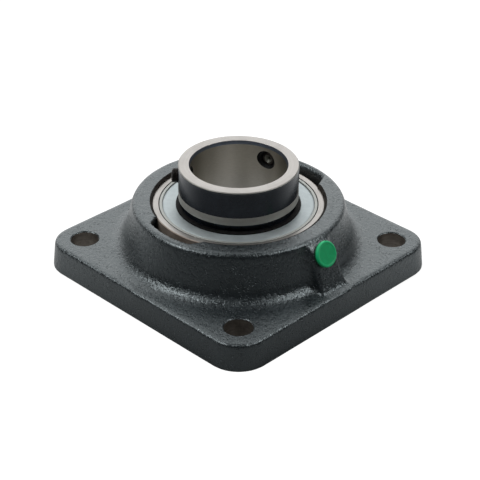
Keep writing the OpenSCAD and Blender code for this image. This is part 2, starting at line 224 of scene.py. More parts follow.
class MaterialBench(NodeBench):
    """Builds the nodes of one material."""

    def __init__(self, name: str) -> None:
        """Makes a material with one Principled shader that is wired to its output.

        Args:
            name: The material's name.
        """
        self.material = bpy.data.materials.new(name)
        self.material.use_nodes = True
        super().__init__(self.material.node_tree)
        self.shader = self.tree.nodes["Principled BSDF"]
        self.place = self.node("ShaderNodeTexCoord").outputs["Object"]

    def blend(self, mask: Varying, low: Any, high: Any) -> bpy.types.NodeSocket:
        """Colour that goes from low to high as the mask goes from 0 to 1."""
        links = {"Factor": mask, 6: low, 7: high}
        return self.node("ShaderNodeMix", {"data_type": "RGBA"}, links).outputs[2]

    def axes(self) -> tuple[Varying, Varying, Varying]:
        """The three coordinates of a surface point, in metres in the part's frame."""
        split = self.node("ShaderNodeSeparateXYZ", {}, {0: self.place})
        return tuple(Varying(self, split.outputs[n]) for n in range(3))

    def radius(self) -> Varying:
        """Distance of a surface point from the shaft axis, in metres."""
        x, y, _ = self.axes()
        return (x * x + y * y) ** 0.5

    def stretched(self, x: float, y: float, z: float) -> bpy.types.NodeSocket:
        """The surface point's coordinates, each multiplied by its own factor."""
        links = {0: self.place, 1: (x, y, z)}
        return self.node("ShaderNodeVectorMath", {"operation": "MULTIPLY"}, links).outputs[0]

    def cloud(self, size_mm: float, detail: float = 3.0, place: Any = None,
              rough: float = 0.5) -> Varying:
        """Noise from 0 to 1.

        Args:
            size_mm: Size of its largest features.
            detail: Number of finer layers.
            place: Coordinates to use instead of the surface point's.
            rough: Strength of the finer layers.

        Returns:
            The noise as a value.
        """
        links = {"Vector": place or self.place, "Scale": 1 / (size_mm * MM), "Detail": detail,
                 "Roughness": rough}
        return self.value("ShaderNodeTexNoise", {}, links, 0)

    def rings(self, size_mm: float, detail: float) -> Varying:
        """Fine grinding rings around the shaft axis, from 0 to 1.

        Args:
            size_mm: Distance between the strongest rings.
            detail: Number of finer layers.

        Returns:
            The rings as a value.
        """
        _, _, z = self.axes()
        spot = self.node("ShaderNodeCombineXYZ", {}, {0: self.radius(), 2: z}).outputs[0]
        return self.cloud(size_mm, detail, spot, 0.6)

    def relief(self, height: Varying, depth_mm: float) -> bpy.types.NodeSocket:
        """Bump of a height from 0 to 1 that stands for a real depth."""
        links = {"Height": height, "Distance": depth_mm * MM}
        return self.node("ShaderNodeBump", {}, links).outputs[0]

    def finish(self, surface: Settings) -> bpy.types.Material:
        """Sets the shader's sockets and hands the material over.

        Args:
            surface: Values or links of the shader's sockets, by name.

        Returns:
            The finished material.
        """
        for key, value in surface.items():
            self.feed(self.shader.inputs[key], value)
        return self.material


@dataclass(frozen=True)
class CastPaint:
    """Charcoal paint over a sand casting, with its orange peel and pits."""

    name: str = "cast_paint"
    deep: Colour = (0.007, 0.010, 0.0125)
    shade: Colour = (0.016, 0.021, 0.0245)
    # Paler paint on convex edges: partly worn paint, partly a painted highlight where the edges
    # catch the light.
    worn_and_highlight: Colour = (0.070, 0.081, 0.088)
    rust: Colour = (0.050, 0.044, 0.038)

    def make(self) -> bpy.types.Material:
        """Builds the material.

        Returns:
            The new material.
        """
        b = MaterialBench(self.name)
        grain = b.cloud(2.6, 4.0, rough=0.58)
        peel = b.cloud(1.1, 3.0)
        drift = b.cloud(38.0, 3.0)
        cells = b.value("ShaderNodeTexVoronoi", {"feature": "F1"},
                        {"Vector": b.place, "Scale": 620.0}, "Distance")
        pits = cells.between(0.32, 0.10) * b.cloud(9.0, 2.0).between(0.45, 0.62)
        # Convex edge mask for the paler edge colour: worn paint and painted highlight together.
        edge = b.value("ShaderNodeNewGeometry", {}, {}, "Pointiness").between(0.515, 0.60)
        tone = b.blend((grain * 0.6 + drift * 0.4).between(0.32, 0.68), self.deep, self.shade)
        tone = b.blend(edge * 0.32, tone, self.worn_and_highlight)
        flecks = b.cloud(1.6, 4.0).between(0.66, 0.74) * b.cloud(30.0).between(0.5, 0.65)
        tone = b.blend(flecks * 0.6, tone, self.rust)
        height = grain * 0.6 + peel * 0.35 - pits * 0.5
        rough = 0.29 + (grain - 0.5) * 0.25 + pits * 0.25
        return b.finish({"Base Color": tone, "Roughness": rough, "IOR": 2.0,
                         "Specular Tint": (0.86, 0.97, 1.0),
                         "Normal": b.relief(height, 0.74)})


@dataclass(frozen=True)
class BareIron:
    """Machined cast iron of the bolt holes and the seat, with painted shade in near-black brown at
    the seat's mouth.
    """

    name: str = "bare_iron"
    dark: Colour = (0.20, 0.18, 0.16)
    light: Colour = (0.38, 0.35, 0.315)
    # Near-black brown of the seat's mouth: painted shade where the mouth meets the outer ring.
    brown: Colour = (0.012, 0.009, 0.006)
    mouth_z: float = 48.6

    def make(self) -> bpy.types.Material:
        """Builds the material.

        Returns:
            The new material.
        """
        b = MaterialBench(self.name)
        feed_marks = b.cloud(0.9, 3.0, b.stretched(0.12, 0.12, 1.0))
        stain = b.cloud(7.0, 4.0)
        tone = b.blend((feed_marks * 0.5 + stain * 0.5).between(0.3, 0.7), self.dark, self.light)
        height = b.axes()[2] * (1 / MM)
        # Painted shade: the mouth's chamfer above mouth_z is coloured near-black brown.
        mouth = height.between(self.mouth_z, self.mouth_z + 0.5) * (stain * 0.3 + 0.8)
        tone = b.blend(mouth, tone, self.brown)
        rough = 0.38 + stain * 0.2 + mouth * 0.3
        return b.finish({"Base Color": tone, "Metallic": 0.85, "Roughness": rough,
                         "Normal": b.relief(feed_marks, 0.06)})


@dataclass(frozen=True)
class GroundSteel:
    """Bright ground bearing steel with fine rings and faint stains."""

    name: str = "ground_steel"
    light: Colour = (0.462, 0.445, 0.423)
    dark: Colour = (0.357, 0.341, 0.321)
    stain_share: float = 0.5
    metal: float = 0.8
    rough: float = 0.29

    def make(self) -> bpy.types.Material:
        """Builds the material.

        Returns:
            The new material.
        """
        b = MaterialBench(self.name)
        rings = b.rings(0.35, 3.0)
        stain = b.cloud(11.0, 4.0).between(0.42, 0.75)
        specks = b.cloud(1.3, 2.0).between(0.70, 0.78)
        mask = rings.between(0.35, 0.65) * 0.4 + stain * self.stain_share * 0.6
        tone = b.blend(mask, self.light, self.dark)
        tone = b.blend(specks * 0.35, tone, self.dark)
        rough = self.rough + rings * 0.10 + stain * 0.08
        return b.finish({"Base Color": tone, "Metallic": self.metal, "Roughness": rough,
                         "Normal": b.relief(rings, 0.012)})


@dataclass(frozen=True)
class SeatSteel:
    """Brown tinted ground steel of the outer ring's ball shaped outside."""

    name: str = "seat_steel"
    light: Colour = (0.40, 0.335, 0.285)
    dark: Colour = (0.24, 0.195, 0.16)

    def make(self) -> bpy.types.Material:
        """Builds the material.

        Returns:
            The new material.
        """
        b = MaterialBench(self.name)
        lines = b.rings(0.5, 2.0)
        film = b.cloud(6.0, 4.0)
        tone = b.blend((film * 0.7 + lines * 0.3).between(0.3, 0.7), self.dark, self.light)
        rough = 0.40 + film * 0.16
        return b.finish({"Base Color": tone, "Metallic": 0.4, "Roughness": rough,
                         "Normal": b.relief(lines, 0.015)})


@dataclass(frozen=True)
class BoreSteel:
    """Honed steel of the shaft bore, with hone marks and soft upright streaks of painted
    reflection.
    """

    name: str = "bore_steel"
    light: Colour = (0.72, 0.70, 0.655)
    dark: Colour = (0.52, 0.505, 0.46)

    def make(self) -> bpy.types.Material:
        """Builds the material.

        Returns:
            The new material.
        """
        b = MaterialBench(self.name)
        # Painted reflection: broad upright light and dark streaks in the colour, mixed with real
        # hone marks.
        reflection_streaks = b.cloud(22.0, 1.0, b.stretched(1.0, 1.0, 0.05))
        hone = b.cloud(0.35, 2.0, b.stretched(0.15, 0.15, 1.0))
        tone = b.blend((reflection_streaks * 0.8 + hone * 0.2).between(0.35, 0.65), self.dark, self.light)
        rough = 0.24 + reflection_streaks * 0.12
        return b.finish({"Base Color": tone, "Metallic": 1.0, "Roughness": rough,
                         "Normal": b.relief(hone, 0.02)})


@dataclass(frozen=True)
class BlackOxide:
    """Blued black outside of the inner ring's long end, rubbed paler along its rim."""

    name: str = "black_oxide"
    black: Colour = (0.008, 0.011, 0.0165)
    grey: Colour = (0.019, 0.025, 0.033)
    rubbed: Colour = (0.060, 0.066, 0.070)
    rim_z: float = 76.9
    rough: float = 0.16
    ior: float = 1.5

    def make(self) -> bpy.types.Material:
        """Builds the material.

        Returns:
            The new material.
        """
        b = MaterialBench(self.name)
        turned = b.cloud(0.5, 2.0, b.stretched(0.1, 0.1, 1.0))
        patch = b.cloud(9.0, 4.0)
        tone = b.blend((patch * 0.8 + turned * 0.2).between(0.40, 0.72), self.black, self.grey)
        height = b.axes()[2] * (1 / MM) + (patch - 0.5) * 1.6
        tone = b.blend(height.between(self.rim_z - 1.9, self.rim_z) * 0.8, tone, self.rubbed)
        rough = self.rough + patch * 0.10
        return b.finish({"Base Color": tone, "Roughness": rough, "IOR": self.ior,
                         "Specular Tint": (0.85, 0.93, 1.0),
                         "Normal": b.relief(turned, 0.02)})


@dataclass(frozen=True)
class ZincSheet:
    """Pale zinc plated steel of the seal washers, with painted shade on the raised rim and in the
    crease at its foot, and a painted shadow over the edge that dips into the gap by the outer ring.
    """

    name: str = "zinc_sheet"
    light: Colour = (0.60, 0.665, 0.68)
    dark: Colour = (0.50, 0.565, 0.58)
    # Darker, greyer colour of the raised rim: painted shade of its curl.
    rim: Colour = (0.50, 0.52, 0.495)
    crease_shade: Colour = (0.055, 0.055, 0.05)
    rim_r: float = 51.3
    groove_r: float = 53.45

    def make(self) -> bpy.types.Material:
        """Builds the material.

        Returns:
            The new material.
        """
        b = MaterialBench(self.name)
        cloudy = b.cloud(5.0, 5.0)
        drawn = b.rings(0.8, 2.0)
        r = b.radius() * (1 / MM)
        tone = b.blend((cloudy * 0.7 + drawn * 0.3).between(0.3, 0.7), self.dark, self.light)
        # Painted shade: the raised rim and everything outside it take the darker rim colour.
        tone = b.blend(r.between(self.rim_r - 0.1, self.rim_r + 0.3), tone, self.rim)
        # Painted shade in the crease at the rim's foot.
        foot_shade = r.between(self.rim_r - 0.6, self.rim_r - 0.1)
        foot_shade = foot_shade * r.between(self.rim_r + 0.4, self.rim_r)
        # Painted shadow: outside the groove radius the washer's edge is coloured dark, where it
        # dips into the gap by the outer ring.
        gap_shadow = r.between(self.groove_r - 0.1, self.groove_r + 0.1)
        tone = b.blend(foot_shade * 0.35 + gap_shadow, tone, self.crease_shade)
        rough = 0.42 + cloudy * 0.14
        return b.finish({"Base Color": tone, "Metallic": 0.55, "Roughness": rough,
                         "Normal": b.relief(cloudy, 0.05)})


@dataclass(frozen=True)
class SealRubber:
    """Matt black nitrile rubber with a thin film of dust."""

    name: str = "seal_rubber"
    black: Colour = (0.0035, 0.0034, 0.0036)
    dust: Colour = (0.010, 0.0095, 0.0092)

    def make(self) -> bpy.types.Material:
        """Builds the material.

        Returns:
            The new material.
        """
        b = MaterialBench(self.name)
        grain = b.cloud(0.8, 4.0)
        tone = b.blend(b.cloud(6.0, 3.0).between(0.45, 0.7), self.black, self.dust)
        return b.finish({"Base Color": tone, "Roughness": 0.6 + grain * 0.2,
                         "Specular IOR Level": 0.22,
                         "Normal": b.relief(grain, 0.04)})


@dataclass(frozen=True)
class GreenPlastic:
    """Moulded green plastic of the grease plug, with a painted highlight along its rim and painted
    shade on the head's side wall.
    """

    axis: Matrix
    rim_r: float
    name: str = "green_plastic"
    light: Colour = (0.0085, 0.58, 0.205)
    deep: Colour = (0.0075, 0.50, 0.175)
    # Paler green of the rim: painted highlight.
    rim: Colour = (0.013, 0.66, 0.25)
    # Dark green of the head's side wall: painted shade.
    wall: Colour = (0.004, 0.15, 0.055)

    def make(self) -> bpy.types.Material:
        """Builds the material.

        Returns:
            The new material.
        """
        b = MaterialBench(self.name)
        grain = b.cloud(0.5, 3.0)
        tone = b.blend(b.cloud(5.0, 3.0).between(0.35, 0.65), self.deep, self.light)
        x, y, z = b.axes()
        place, up, out = self.axis.translation * MM, self.axis.col[0], self.axis.col[2]
        lean = (x - place.x) * up.x + (z - place.z) * up.z
        r = (lean * lean + y * y) ** 0.5 * (1 / MM)
        # Painted highlight along the top of the rim.
        tone = b.blend(r.between(self.rim_r - 1.5, self.rim_r - 0.9), tone, self.rim)
        # Painted shade on the head's side wall, low on the head.
        height = ((x - place.x) * out.x + (z - place.z) * out.z) * (1 / MM)
        tone = b.blend(height.between(1.5, 0.6), tone, self.wall)
        return b.finish({"Base Color": tone, "Roughness": 0.42 + grain * 0.12,
                         "Normal": b.relief(grain, 0.02)})


@dataclass(frozen=True)
class BlackScrew:
    """Blackened alloy steel of the set screws."""

    name: str = "black_screw"
    black: Colour = (0.045, 0.038, 0.035)
    rubbed: Colour = (0.07, 0.062, 0.058)

    def make(self) -> bpy.types.Material:
        """Builds the material.

        Returns:
            The new material.
        """
        b = MaterialBench(self.name)
        film = b.cloud(2.0, 4.0)
        crest = b.value("ShaderNodeNewGeometry", {}, {}, "Pointiness").between(0.53, 0.62)
        tone = b.blend(crest * 0.7 + film.between(0.6, 0.8) * 0.3, self.black, self.rubbed)
        return b.finish({"Base Color": tone, "Metallic": 0.5, "Roughness": 0.34 + film * 0.2,
                         "Normal": b.relief(film, 0.02)})


@dataclass(frozen=True)
class HiddenSteel:
    """Steel of the balls, the cage and its rivets, polished or pressed."""

    name: str
    light: Colour
    dark: Colour
    rough: float

    def make(self) -> bpy.types.Material:
        """Builds the material.

        Returns:
            The new material.
        """
        b = MaterialBench(self.name)
        oil = b.cloud(4.0, 4.0)
        tone = b.blend(oil.between(0.35, 0.7), self.light, self.dark)
        return b.finish({"Base Color": tone, "Metallic": 1.0, "Roughness": self.rough + oil * 0.1,
                         "Normal": b.relief(b.cloud(0.6, 2.0), 0.01)})


def rounded(corners: Sequence[Corner], steps: int, closed: bool = True) -> list[Point]:
    """Turns a path of corners into points, with an arc in each corner that has a radius.

    Args:
        corners: Each a radius from the axis, a height, and the radius of its rounding.
        steps: Number of pieces in each arc.
        closed: Whether the last corner joins the first.

    Returns:
        The points of the rounded path.
    """
    points: list[Point] = []
    count = len(corners)
    for n, (x, y, r) in enumerate(corners):
        here = Vector((x, y))
        if r <= 0 or (not closed and n in (0, count - 1)):
            points.append((x, y))
            continue
        back = (Vector(corners[n - 1][:2]) - here).normalized()
        ahead = (Vector(corners[(n + 1) % count][:2]) - here).normalized()
        half = back.angle(ahead) / 2
        middle = here + (back + ahead).normalized() * (r / math.sin(half))
        start = here + back * (r / math.tan(half)) - middle
        end = here + ahead * (r / math.tan(half)) - middle
        first = math.atan2(start.y, start.x)
        sweep = (math.atan2(end.y, end.x) - first + math.pi) % FULL_TURN - math.pi
        for k in range(steps + 1):
            a = first + sweep * k / steps
            points.append((middle.x + r * math.cos(a), middle.y + r * math.sin(a)))
    return points


class Blank:
    """A mesh in the making, in millimetres."""

    def __init__(self) -> None:
        """Starts with no vertices."""
        self.points: list[Spot] = []
        self.faces: list[tuple[int, ...]] = []
        self.slots: list[int] = []

    def add(self, points: Iterable[Sequence[float]], faces: Iterable[Sequence[int]],
            slot: int = 0) -> None:
        """Adds points and the faces between them, all in one material slot.

        Args:
            points: The new points.
            faces: Faces, as numbers of the new points.
            slot: The material slot.
        """
        base = len(self.points)
        self.points.extend(tuple(p) for p in points)
        for face in faces:
            self.faces.append(tuple(base + n for n in face))
            self.slots.append(slot)

    def revolve(self, path: Sequence[Point], turns: int, slot: int | SlotPicker = 0) -> None:
        """Adds a closed path turned about the Z axis.

        Args:
            path: Points as radius and height, anticlockwise with the radius to the right.
            turns: Number of steps round the axis.
            slot: A material slot, or a function that picks it from an edge of the path.
        """
        base, count = len(self.points), len(path)
        for t in range(turns):
            a = FULL_TURN * t / turns
            self.points.extend((r * math.cos(a), r * math.sin(a), z) for r, z in path)
        for n in range(count):
            m = (n + 1) % count
            chosen = slot(path[n], path[m]) if callable(slot) else slot
            if path[n][0] < ON_AXIS and path[m][0] < ON_AXIS:
                continue
            for t in range(turns):
                here, ahead = base + t * count, base + (t + 1) % turns * count
                self.faces.append((here + n, ahead + n, ahead + m, here + m))
                self.slots.append(chosen)

    def stack(self, loops: Sequence[Sequence[Sequence[float]]], slot: int = 0) -> None:
        """Adds a solid with one loop of points per level, closed at both ends.

        Args:
            loops: Loops of equal length, from the lowest level up.
            slot: The material slot.
        """
        count = len(loops[0])
        top = (len(loops) - 1) * count
        walls = []
        for low in range(0, top, count):
            for n in range(count):
                m = (n + 1) % count
                walls.append((low + n, low + m, low + count + m, low + count + n))
        ends = [tuple(reversed(range(count))), tuple(range(top, top + count))]
        self.add([p for loop in loops for p in loop], walls + ends, slot)

    def make(self, name: str, move: Matrix | None = None,
             finishes: Sequence[bpy.types.Material] = ()) -> bpy.types.Object:
        """Makes the object in metres.

        Args:
            name: The object's name.
            move: Where the shape goes, in millimetres.
            finishes: One material for each slot.

        Returns:
            The new object, linked to the scene.
        """
        mesh = bpy.data.meshes.new(name)
        for finish in finishes:
            mesh.materials.append(finish)
        mesh.from_pydata(self.points, [], self.faces)
        mesh.polygons.foreach_set("material_index", self.slots)
        mesh.transform(Matrix.Scale(MM, 4) @ (move or Matrix.Identity(4)))
        shape = bmesh.new()
        shape.from_mesh(mesh)
        bmesh.ops.remove_doubles(shape, verts=shape.verts, dist=WELD_M)
        bmesh.ops.dissolve_degenerate(shape, edges=shape.edges, dist=WELD_M)
        bmesh.ops.recalc_face_normals(shape, faces=shape.faces)
        shape.to_mesh(mesh)
        shape.free()
        made = bpy.data.objects.new(name, mesh)
        bpy.context.scene.collection.objects.link(made)
        return made


def settle(piece: bpy.types.Object) -> None:
    """Applies all modifiers of a piece to its mesh.

    Args:
        piece: The piece.
    """
    graph = bpy.context.evaluated_depsgraph_get()
    mesh = bpy.data.meshes.new_from_object(piece.evaluated_get(graph))
    piece.modifiers.clear()
    piece.data = mesh


def cut(piece: bpy.types.Object, tools: Sequence[bpy.types.Object]) -> None:
    """Takes each tool's shape out of a piece, with the piece's finishes, and deletes the tool.

    Args:
        piece: The piece that is cut.
        tools: The cutters, one after the other.
    """
    for tool in tools:
        for finish in piece.data.materials:
            tool.data.materials.append(finish)
        knife = piece.modifiers.new("cut", "BOOLEAN")
        knife.operation, knife.solver, knife.object = "DIFFERENCE", "MANIFOLD", tool
        settle(piece)
        bpy.data.objects.remove(tool)


def dress(piece: bpy.types.Object, body: Body, replaced: Sequence[str],
          sharp_deg: float = 32.0) -> None:
    """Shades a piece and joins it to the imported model.

    Args:
        piece: The piece, in place in the part's frame.
        body: The body that it rides on.
        replaced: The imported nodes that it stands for.
        sharp_deg: Edges that turn by more than this stay sharp.
    """
    mesh = piece.data
    mesh.polygons.foreach_set("use_smooth", [True] * len(mesh.polygons))
    mesh.set_sharp_from_angle(angle=math.radians(sharp_deg))
    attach(piece, body.value)
    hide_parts(*replaced)
    report.info("%s rides on %s with %d faces", piece.name, body.value, len(mesh.polygons))


@dataclass
class CastHousing:
    """The painted casting: flange, boss and grease rib, with its machined seat and holes.

    Each rib level is a height and how far the rib's face stands out of its slope there.
    """

    bolt_half: float = 74.5
    bolt_hole_d: float = 19.0
    hole_chamfer: float = 0.6
    hole_lip: float = 0.12
    hole_flare: float = 4.0
    hole_flare_t: float = 4.4
    edge_margin: float = 22.3
    corner_steps: int = 16
    flange_t: float = 18.6
    stock_t: float = 2.0
    side_draft: float = 2.0
    edge_r: float = 1.7
    boss_top_z: float = 50.3
    boss_top_r: float = 71.7
    boss_foot_r: float = 79.8
    boss_rim_r: float = 3.2
    boss_fillet_r: float = 11.5
    foot_trim: float = 7.0
    seat_r: float = 60.0
    rear_open_r: float = 58.2
    rear_chamfer: float = 1.0
    slot_wall_r: float = 65.6
    slot_w: float = 36.6
    slot_lean_deg: float = 24.0
    slot_round_w: float = 4.3
    slot_round_t: float = 9.0
    slot_top_z: float = 70.0
    rib_half: float = 11.6
    rib_half_top: float = 9.8
    rib_top_x: float = 75.0
    rib_foot_x: float = 89.0
    rib_drop: float = 1.7
    rib_inner_x: float = 50.0
    rib_soft_r: float = 4.5
    rib_soft_gap: float = 1.5
    rib_top_taper: float = 0.6
    rib_overlap: float = 0.2
    rib_levels: tuple[Point, ...] = (
        (12.0, 3.9), (16.0, 2.1), (18.6, 1.3), (20.0, 0.7), (22.5, 0.0), (27.0, 0.0), (32.0, 0.0),
        (37.0, 0.0), (42.0, 0.0), (43.5, -0.1), (45.2, -0.6), (46.5, -1.5), (47.4, -2.7),
        (47.9, -4.2), (48.1, -6.0))
    grease_z: float = 41.2
    grease_mouth_d: float = 8.8
    grease_mouth_t: float = 11.0
    passage_r: float = 2.0
    passage_t: float = 25.0
    mouth_w: float = 1.75
    mouth_t: float = 0.9
    mouth_flare: float = 0.6
    mouth_clear: float = 2.0
    bare_t: float = 0.1
    voxel: float = 0.93
    swell: float = 0.08
    swell_per_m: float = 55.0
    grit: float = 0.025
    grit_per_m: float = 210.0
    skin_sink: float = 0.05
    paint: CastPaint = CastPaint()
    iron: BareIron = BareIron()

    @property
    def rib_slope(self) -> float:
        """Angle of the rib's slanted face from upright, in radians."""
        rise = self.boss_top_z - self.rib_drop - self.flange_t
        return math.atan((self.rib_foot_x - self.rib_top_x) / rise)

    def outline(self, inset: float, z: float) -> list[Spot]:
        """Rounded square outline of the flange at one height.

        Args:
            inset: How far the sides stand in from those at the mounting face.
            z: The height.

        Returns:
            The outline's points, anticlockwise.
        """
        r = self.edge_margin - inset
        points = []
        for q, (cx, cy) in enumerate(((1, 1), (-1, 1), (-1, -1), (1, -1))):
            for k in range(self.corner_steps + 1):
                a = QUARTER_TURN * (q + k / self.corner_steps)
                points.append((cx * self.bolt_half + r * math.cos(a),
                               cy * self.bolt_half + r * math.sin(a), z))
        return points

    def casting(self) -> bpy.types.Object:
        """Builds the flange, boss and rib as one skin with soft edges, before machining.

        Returns:
            The casting.
        """
        blank = Blank()
        lean = self.side_draft / self.flange_t
        levels = [(lean * z, z) for z in (-self.stock_t, 0.0, 4.0, 8.0, 12.0)]
        straight = self.flange_t - self.edge_r
        for a in (QUARTER_TURN * k / 6 for k in range(7)):
            levels.append((lean * straight + self.edge_r * (1 - math.cos(a)),
                           straight + self.edge_r * math.sin(a)))
        blank.stack([self.outline(inset, z) for inset, z in levels])
        far = self.boss_foot_r + 2 * self.boss_fillet_r - self.foot_trim
        low = -self.stock_t / 2
        path = rounded([(0.0, low, 0), (far, low, 0), (far, self.flange_t, 0),
                        (self.boss_foot_r, self.flange_t, self.boss_fillet_r),
                        (self.boss_top_r, self.boss_top_z, self.boss_rim_r),
                        (0.0, self.boss_top_z, 0)], steps=10)
        blank.revolve(path, turns=180)
        blank.stack(self.rib_loops())
        piece = blank.make("housing_casting", None, [self.paint.make(), self.iron.make()])
        self.reskin(piece, rounds=4)
        cut(piece, [self.slot_cutter(1), self.slot_cutter(-1)])
        self.reskin(piece, rounds=12)
        return piece

    def reskin(self, piece: bpy.types.Object, rounds: int) -> None:
        """Gives the casting one even skin and softens its edges.

        Args:
            piece: The casting.
            rounds: How many times the skin is smoothed.
        """
        skin = piece.modifiers.new("skin", "REMESH")
        skin.mode, skin.voxel_size = "VOXEL", self.voxel * MM
        soft = piece.modifiers.new("soft", "SMOOTH")
        soft.factor, soft.iterations = 0.5, rounds
        settle(piece)

    def rib_loops(self) -> list[list[Spot]]:
        """Loops of the rib, narrower towards its top, with a flared foot and soft corners.

        Returns:
            One loop of points per level.
        """
        loops = []
        for z, out in self.rib_levels:
            x = self.rib_foot_x - (z - self.flange_t) * math.tan(self.rib_slope) + out
            share = (z - self.flange_t) / (self.boss_top_z - self.flange_t)
            half = self.rib_half + (self.rib_half_top - self.rib_half) * share
            half += min(0.0, out) * self.rib_top_taper
            wall = self.boss_foot_r + (self.boss_top_r - self.boss_foot_r) * max(0.0, share)
            room = x - math.sqrt(wall ** 2 - half ** 2) - self.rib_soft_gap
            soft = max(0.0, min(self.rib_soft_r, room))
            side = []
            for k in range(6):
                a = QUARTER_TURN * k / 5
                y = half + soft * (1 - math.sin(a))
                reach = math.sqrt(wall ** 2 - y ** 2) + soft * (1 - math.cos(a))
                side.append((reach - self.rib_overlap, y, z))
            mirrored = [(px, -py, pz) for px, py, pz in side]
            inner = self.rib_inner_x
            loops.append([(inner, -half - soft, z), *mirrored, (x, -half, z),
                          (x, half, z), *reversed(side), (inner, half + soft, z)])
        return loops

    def roughen(self, piece: bpy.types.Object) -> None:
        """Gives the casting's skin the gentle unevenness of a sand mould.

        Args:
            piece: The casting.
        """
        mesh = piece.data
        count = len(mesh.vertices)
        spots = np.empty(count * 3, np.float32)
        normals = np.empty(count * 3, np.float32)
        mesh.vertices.foreach_get("co", spots)
        mesh.vertices.foreach_get("normal", normals)
        spots, normals = spots.reshape(-1, 3), normals.reshape(-1, 3)
        lift = np.empty(count, np.float32)
        for n, spot in enumerate(spots):
            place = Vector(spot)
            swell = self.swell * noise.noise(place * self.swell_per_m)
            grit = self.grit * noise.noise(place * self.grit_per_m)
            lift[n] = swell + grit - self.skin_sink
        mesh.vertices.foreach_set("co", (spots + normals * (lift * MM)[:, None]).ravel())
        mesh.update()

    def tools(self) -> list[bpy.types.Object]:
        """Cutters for the mounting face, the seat and the holes."""
        return [self.base_cutter(), self.seat_cutter(), self.grease_cutter(), *self.hole_cutters()]

    def base_cutter(self) -> bpy.types.Object:
        """Box that leaves the mounting face flat.

        Returns:
            The cutter.
        """
        blank = Blank()
        reach = 120.0
        square = [(-reach, -reach), (reach, -reach), (reach, reach), (-reach, reach)]
        blank.stack([[(x, y, z) for x, y in square] for z in (-2 * PAST, 0.0)], CastFace.IRON)
        return blank.make("base_cutter")

    def seat_cutter(self) -> bpy.types.Object:
        """The ball shaped seat with its chamfered mouth and the open space behind it.

        Returns:
            The cutter.
        """
        mouth_z = self.boss_top_z - self.mouth_t
        seat_angle = math.asin((mouth_z - SEAT_Z) / self.seat_r)
        rear_angle = -math.acos(self.rear_open_r / self.seat_r)
        steps = 40
        arc = [rear_angle + (seat_angle - rear_angle) * k / steps for k in range(steps + 1)]
        path = [(0.0, -PAST), (self.rear_open_r + (PAST + self.rear_chamfer), -PAST),
                (self.rear_open_r, self.rear_chamfer)]
        path += [(self.seat_r * math.cos(a), SEAT_Z + self.seat_r * math.sin(a)) for a in arc]
        edge = path[-1][0] + self.mouth_w
        top = self.boss_top_z + self.mouth_clear
        path += [(edge, self.boss_top_z - self.bare_t), (edge + self.mouth_flare, top), (0.0, top)]
        blank = Blank()
        blank.revolve(path, 256, CastFace.IRON)
        return blank.make("seat_cutter")

    def slot_cutter(self, sign: int) -> bpy.types.Object:
        """One loading slot, wider at the inside, on the +Y or the -Y side.

        Args:
            sign: 1 for the slot on the +Y side, with its rounded top edge, and -1 for the other.

        Returns:
            The cutter.
        """
        inside = self.seat_r / 2
        half = self.slot_w / 2
        reach = (self.slot_wall_r - inside) * math.tan(math.radians(self.slot_lean_deg))
        swing = math.asin(half / self.slot_wall_r)
        wall = [(self.slot_wall_r * math.sin(a), self.slot_wall_r * math.cos(a))
                for a in (swing * k / 8 for k in range(8, -9, -1))]
        plan = [*wall, (-half - reach, inside), (half + reach, inside)]
        plan = [(x, sign * y) for x, y in plan]
        wide, tall = (self.slot_round_w, self.slot_round_t) if sign > 0 else (0.0, 0.0)
        start = self.boss_top_z - tall
        levels = [(SEAT_Z, 1.0)]
        for k in range(11):
            a = QUARTER_TURN * k / 10
            grow = 1 + wide * (1 - math.cos(a)) / self.slot_wall_r
            levels.append((start + tall * math.sin(a) + 0.001 * k, grow))
        levels.append((self.slot_top_z, levels[-1][1]))
        blank = Blank()
        blank.stack([[(x, y * grow, z) for x, y in plan] for z, grow in levels])
        return blank.make("slot_cutter")

    def hole_cutters(self) -> list[bpy.types.Object]:
        """Cutters for the four bolt holes.

        Returns:
            The four cutters.
        """
        r = self.bolt_hole_d / 2
        rim = self.flange_t - self.hole_chamfer
        top = rim + self.hole_flare_t
        path = [(0.0, -PAST), (r, -PAST), (r, rim - 0.1), (r + self.hole_lip, rim),
                (r + self.hole_flare, top), (0.0, top)]

        def face_of(first: Point, second: Point) -> CastFace:
            """Leaves paint on the rim's chamfer and bare iron below it."""
            return CastFace.PAINT if min(first[1], second[1]) > rim - 0.2 else CastFace.IRON

        made = []
        for x in (-self.bolt_half, self.bolt_half):
            for y in (-self.bolt_half, self.bolt_half):
                blank = Blank()
                blank.revolve(path, 72, face_of)
                made.append(blank.make("hole_cutter", Matrix.Translation((x, y, 0))))
        return made

    def grease_frame(self) -> Matrix:
        """Frame on the rib's slanted face, with Z straight out of it.

        Returns:
            The frame, in millimetres.
        """
        drop = self.boss_top_z - self.rib_drop - self.grease_z
        x = self.rib_top_x + drop * math.tan(self.rib_slope)
        turn = Matrix.Rotation(QUARTER_TURN - self.rib_slope, 4, "Y")
        return Matrix.Translation((x, 0, self.grease_z)) @ turn

    def grease_cutter(self) -> bpy.types.Object:
        """Cutter for the grease hole.

        Returns:
            The cutter.
        """
        r = self.grease_mouth_d / 2
        end, narrow, wide = -self.passage_t, -self.grease_mouth_t - 1.0, -self.grease_mouth_t
        top = PAST + 1.0
        path = [(0.0, end), (self.passage_r, end), (self.passage_r, narrow), (r, wide), (r, top),
                (0.0, top)]
        blank = Blank()
        blank.revolve(path, 48, CastFace.IRON)
        return blank.make("grease_cutter", self.grease_frame())

    def build(self) -> None:
        """Casts, roughens, machines and dresses the housing."""
        piece = self.casting()
        self.roughen(piece)
        cut(piece, self.tools())
        dress(piece, Body.HOUSING, ["housing"], 38.0)


